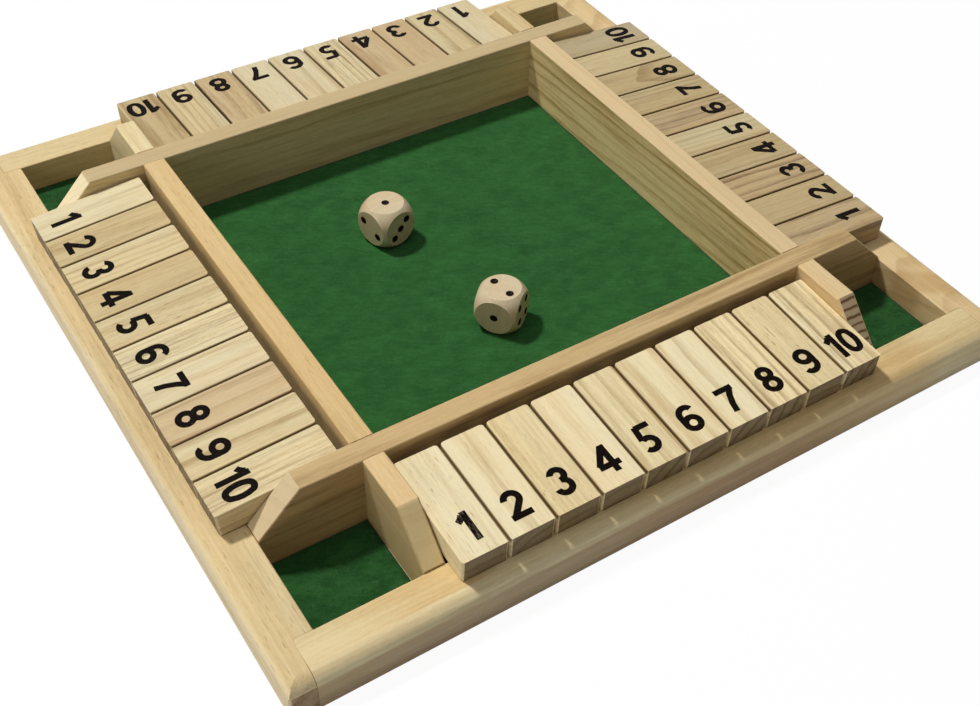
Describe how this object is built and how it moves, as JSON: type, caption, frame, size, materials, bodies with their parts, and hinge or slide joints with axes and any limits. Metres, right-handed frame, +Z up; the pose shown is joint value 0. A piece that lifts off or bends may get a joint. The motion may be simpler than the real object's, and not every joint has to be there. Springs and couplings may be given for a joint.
{
  "type": "shut the box game",
  "caption": "Four-sided dice board: square wooden felt-floored tray with a row of flip-up number tiles on rods along each side, corner pockets and loose dice.",
  "frame": {"origin": "middle of the board's underside", "axes": "+Z up; -Y is the front row's side, where its numbers run from left to right along +X"},
  "size_m": [0.28, 0.28, 0.03],
  "materials": {
    "rail_wood": "fine sanded, clear satin",
    "wall_wood": "fine sanded, clear satin",
    "tile_wood": "fine sanded, clear satin",
    "plywood": "plain plywood",
    "felt": "short green felt",
    "rod_steel": "plain rod",
    "die_wood": "polished, black dished pips"
  },
  "bodies": {
    "tray": {"base_panel": "plywood", "felt_lining": "felt", "rail_front": "rail_wood", "rail_right": "rail_wood", "rail_back": "rail_wood", "rail_left": "rail_wood", "inner_wall_front": "wall_wood", "inner_wall_right": "wall_wood", "inner_wall_back": "wall_wood", "inner_wall_left": "wall_wood", "end_block_front_left": "wall_wood", "end_block_front_right": "wall_wood", "end_block_back_left": "wall_wood", "end_block_back_right": "wall_wood", "rod_front": "rod_steel", "rod_right": "rod_steel", "rod_back": "rod_steel", "rod_left": "rod_steel"},
    "tile_front_1": {"tile_front_1": "tile_wood"},
    "tile_front_2": {"tile_front_2": "tile_wood"},
    "tile_front_3": {"tile_front_3": "tile_wood"},
    "tile_front_4": {"tile_front_4": "tile_wood"},
    "tile_front_5": {"tile_front_5": "tile_wood"},
    "tile_front_6": {"tile_front_6": "tile_wood"},
    "tile_front_7": {"tile_front_7": "tile_wood"},
    "tile_front_8": {"tile_front_8": "tile_wood"},
    "tile_front_9": {"tile_front_9": "tile_wood"},
    "tile_front_10": {"tile_front_10": "tile_wood"},
    "tile_right_1": {"tile_right_1": "tile_wood"},
    "tile_right_2": {"tile_right_2": "tile_wood"},
    "tile_right_3": {"tile_right_3": "tile_wood"},
    "tile_right_4": {"tile_right_4": "tile_wood"},
    "tile_right_5": {"tile_right_5": "tile_wood"},
    "tile_right_6": {"tile_right_6": "tile_wood"},
    "tile_right_7": {"tile_right_7": "tile_wood"},
    "tile_right_8": {"tile_right_8": "tile_wood"},
    "tile_right_9": {"tile_right_9": "tile_wood"},
    "tile_right_10": {"tile_right_10": "tile_wood"},
    "tile_back_1": {"tile_back_1": "tile_wood"},
    "tile_back_2": {"tile_back_2": "tile_wood"},
    "tile_back_3": {"tile_back_3": "tile_wood"},
    "tile_back_4": {"tile_back_4": "tile_wood"},
    "tile_back_5": {"tile_back_5": "tile_wood"},
    "tile_back_6": {"tile_back_6": "tile_wood"},
    "tile_back_7": {"tile_back_7": "tile_wood"},
    "tile_back_8": {"tile_back_8": "tile_wood"},
    "tile_back_9": {"tile_back_9": "tile_wood"},
    "tile_back_10": {"tile_back_10": "tile_wood"},
    "tile_left_1": {"tile_left_1": "tile_wood"},
    "tile_left_2": {"tile_left_2": "tile_wood"},
    "tile_left_3": {"tile_left_3": "tile_wood"},
    "tile_left_4": {"tile_left_4": "tile_wood"},
    "tile_left_5": {"tile_left_5": "tile_wood"},
    "tile_left_6": {"tile_left_6": "tile_wood"},
    "tile_left_7": {"tile_left_7": "tile_wood"},
    "tile_left_8": {"tile_left_8": "tile_wood"},
    "tile_left_9": {"tile_left_9": "tile_wood"},
    "tile_left_10": {"tile_left_10": "tile_wood"},
    "die_a": {"die_a": "die_wood"},
    "die_b": {"die_b": "die_wood"}
  },
  "joints": [
    {"name": "tile_front_1_flip", "type": "hinge", "parent": "tray", "child": "tile_front_1", "pos_m": [-0.07361, -0.1037, 0.0209], "axis": [-1, 0, 0], "range_deg": [0, 130.4]},
    {"name": "tile_front_2_flip", "type": "hinge", "parent": "tray", "child": "tile_front_2", "pos_m": [-0.05722, -0.1037, 0.0209], "axis": [-1, 0, 0], "range_deg": [0, 135.4]},
    {"name": "tile_front_3_flip", "type": "hinge", "parent": "tray", "child": "tile_front_3", "pos_m": [-0.04083, -0.1037, 0.0209], "axis": [-1, 0, 0], "range_deg": [0, 135.4]},
    {"name": "tile_front_4_flip", "type": "hinge", "parent": "tray", "child": "tile_front_4", "pos_m": [-0.02444, -0.1037, 0.0209], "axis": [-1, 0, 0], "range_deg": [0, 135.4]},
    {"name": "tile_front_5_flip", "type": "hinge", "parent": "tray", "child": "tile_front_5", "pos_m": [-0.00805, -0.1037, 0.0209], "axis": [-1, 0, 0], "range_deg": [0, 135.4]},
    {"name": "tile_front_6_flip", "type": "hinge", "parent": "tray", "child": "tile_front_6", "pos_m": [0.00835, -0.1037, 0.0209], "axis": [-1, 0, 0], "range_deg": [0, 135.4]},
    {"name": "tile_front_7_flip", "type": "hinge", "parent": "tray", "child": "tile_front_7", "pos_m": [0.02474, -0.1037, 0.0209], "axis": [-1, 0, 0], "range_deg": [0, 135.4]},
    {"name": "tile_front_8_flip", "type": "hinge", "parent": "tray", "child": "tile_front_8", "pos_m": [0.04113, -0.1037, 0.0209], "axis": [-1, 0, 0], "range_deg": [0, 135.4]},
    {"name": "tile_front_9_flip", "type": "hinge", "parent": "tray", "child": "tile_front_9", "pos_m": [0.05752, -0.1037, 0.0209], "axis": [-1, 0, 0], "range_deg": [0, 135.4]},
    {"name": "tile_front_10_flip", "type": "hinge", "parent": "tray", "child": "tile_front_10", "pos_m": [0.07391, -0.1037, 0.0209], "axis": [-1, 0, 0], "range_deg": [0, 135.4]},
    {"name": "tile_right_1_flip", "type": "hinge", "parent": "tray", "child": "tile_right_1", "pos_m": [0.1037, -0.07296, 0.0209], "axis": [0, -1, 0], "range_deg": [0, 130.4]},
    {"name": "tile_right_2_flip", "type": "hinge", "parent": "tray", "child": "tile_right_2", "pos_m": [0.1037, -0.05668, 0.0209], "axis": [0, -1, 0], "range_deg": [0, 135.4]},
    {"name": "tile_right_3_flip", "type": "hinge", "parent": "tray", "child": "tile_right_3", "pos_m": [0.1037, -0.0404, 0.0209], "axis": [0, -1, 0], "range_deg": [0, 135.4]},
    {"name": "tile_right_4_flip", "type": "hinge", "parent": "tray", "child": "tile_right_4", "pos_m": [0.1037, -0.02412, 0.0209], "axis": [0, -1, 0], "range_deg": [0, 135.4]},
    {"name": "tile_right_5_flip", "type": "hinge", "parent": "tray", "child": "tile_right_5", "pos_m": [0.1037, -0.00784, 0.0209], "axis": [0, -1, 0], "range_deg": [0, 135.4]},
    {"name": "tile_right_6_flip", "type": "hinge", "parent": "tray", "child": "tile_right_6", "pos_m": [0.1037, 0.00844, 0.0209], "axis": [0, -1, 0], "range_deg": [0, 135.4]},
    {"name": "tile_right_7_flip", "type": "hinge", "parent": "tray", "child": "tile_right_7", "pos_m": [0.1037, 0.02472, 0.0209], "axis": [0, -1, 0], "range_deg": [0, 135.4]},
    {"name": "tile_right_8_flip", "type": "hinge", "parent": "tray", "child": "tile_right_8", "pos_m": [0.1037, 0.041, 0.0209], "axis": [0, -1, 0], "range_deg": [0, 135.4]},
    {"name": "tile_right_9_flip", "type": "hinge", "parent": "tray", "child": "tile_right_9", "pos_m": [0.1037, 0.05728, 0.0209], "axis": [0, -1, 0], "range_deg": [0, 135.4]},
    {"name": "tile_right_10_flip", "type": "hinge", "parent": "tray", "child": "tile_right_10", "pos_m": [0.1037, 0.07356, 0.0209], "axis": [0, -1, 0], "range_deg": [0, 135.4]},
    {"name": "tile_back_1_flip", "type": "hinge", "parent": "tray", "child": "tile_back_1", "pos_m": [0.07386, 0.1037, 0.0209], "axis": [1, 0, 0], "range_deg": [0, 130.4]},
    {"name": "tile_back_2_flip", "type": "hinge", "parent": "tray", "child": "tile_back_2", "pos_m": [0.05747, 0.1037, 0.0209], "axis": [1, 0, 0], "range_deg": [0, 135.4]},
    {"name": "tile_back_3_flip", "type": "hinge", "parent": "tray", "child": "tile_back_3", "pos_m": [0.04108, 0.1037, 0.0209], "axis": [1, 0, 0], "range_deg": [0, 135.4]},
    {"name": "tile_back_4_flip", "type": "hinge", "parent": "tray", "child": "tile_back_4", "pos_m": [0.02469, 0.1037, 0.0209], "axis": [1, 0, 0], "range_deg": [0, 135.4]},
    {"name": "tile_back_5_flip", "type": "hinge", "parent": "tray", "child": "tile_back_5", "pos_m": [0.0083, 0.1037, 0.0209], "axis": [1, 0, 0], "range_deg": [0, 135.4]},
    {"name": "tile_back_6_flip", "type": "hinge", "parent": "tray", "child": "tile_back_6", "pos_m": [-0.0081, 0.1037, 0.0209], "axis": [1, 0, 0], "range_deg": [0, 135.4]},
    {"name": "tile_back_7_flip", "type": "hinge", "parent": "tray", "child": "tile_back_7", "pos_m": [-0.02449, 0.1037, 0.0209], "axis": [1, 0, 0], "range_deg": [0, 135.4]},
    {"name": "tile_back_8_flip", "type": "hinge", "parent": "tray", "child": "tile_back_8", "pos_m": [-0.04088, 0.1037, 0.0209], "axis": [1, 0, 0], "range_deg": [0, 135.4]},
    {"name": "tile_back_9_flip", "type": "hinge", "parent": "tray", "child": "tile_back_9", "pos_m": [-0.05727, 0.1037, 0.0209], "axis": [1, 0, 0], "range_deg": [0, 135.4]},
    {"name": "tile_back_10_flip", "type": "hinge", "parent": "tray", "child": "tile_back_10", "pos_m": [-0.07366, 0.1037, 0.0209], "axis": [1, 0, 0], "range_deg": [0, 135.4]},
    {"name": "tile_left_1_flip", "type": "hinge", "parent": "tray", "child": "tile_left_1", "pos_m": [-0.1037, 0.07296, 0.0209], "axis": [0, 1, 0], "range_deg": [0, 130.4]},
    {"name": "tile_left_2_flip", "type": "hinge", "parent": "tray", "child": "tile_left_2", "pos_m": [-0.1037, 0.05668, 0.0209], "axis": [0, 1, 0], "range_deg": [0, 135.4]},
    {"name": "tile_left_3_flip", "type": "hinge", "parent": "tray", "child": "tile_left_3", "pos_m": [-0.1037, 0.0404, 0.0209], "axis": [0, 1, 0], "range_deg": [0, 135.4]},
    {"name": "tile_left_4_flip", "type": "hinge", "parent": "tray", "child": "tile_left_4", "pos_m": [-0.1037, 0.02412, 0.0209], "axis": [0, 1, 0], "range_deg": [0, 135.4]},
    {"name": "tile_left_5_flip", "type": "hinge", "parent": "tray", "child": "tile_left_5", "pos_m": [-0.1037, 0.00784, 0.0209], "axis": [0, 1, 0], "range_deg": [0, 135.4]},
    {"name": "tile_left_6_flip", "type": "hinge", "parent": "tray", "child": "tile_left_6", "pos_m": [-0.1037, -0.00844, 0.0209], "axis": [0, 1, 0], "range_deg": [0, 135.4]},
    {"name": "tile_left_7_flip", "type": "hinge", "parent": "tray", "child": "tile_left_7", "pos_m": [-0.1037, -0.02472, 0.0209], "axis": [0, 1, 0], "range_deg": [0, 135.4]},
    {"name": "tile_left_8_flip", "type": "hinge", "parent": "tray", "child": "tile_left_8", "pos_m": [-0.1037, -0.041, 0.0209], "axis": [0, 1, 0], "range_deg": [0, 135.4]},
    {"name": "tile_left_9_flip", "type": "hinge", "parent": "tray", "child": "tile_left_9", "pos_m": [-0.1037, -0.05728, 0.0209], "axis": [0, 1, 0], "range_deg": [0, 135.4]},
    {"name": "tile_left_10_flip", "type": "hinge", "parent": "tray", "child": "tile_left_10", "pos_m": [-0.1037, -0.07356, 0.0209], "axis": [0, 1, 0], "range_deg": [0, 135.4]},
    {"name": "die_a_lift", "type": "slide", "parent": "tray", "child": "die_a", "axis": [0, 0, 1], "range_m": [0, 0.15]},
    {"name": "die_b_lift", "type": "slide", "parent": "tray", "child": "die_b", "axis": [0, 0, 1], "range_m": [0, 0.15]}
  ]
}
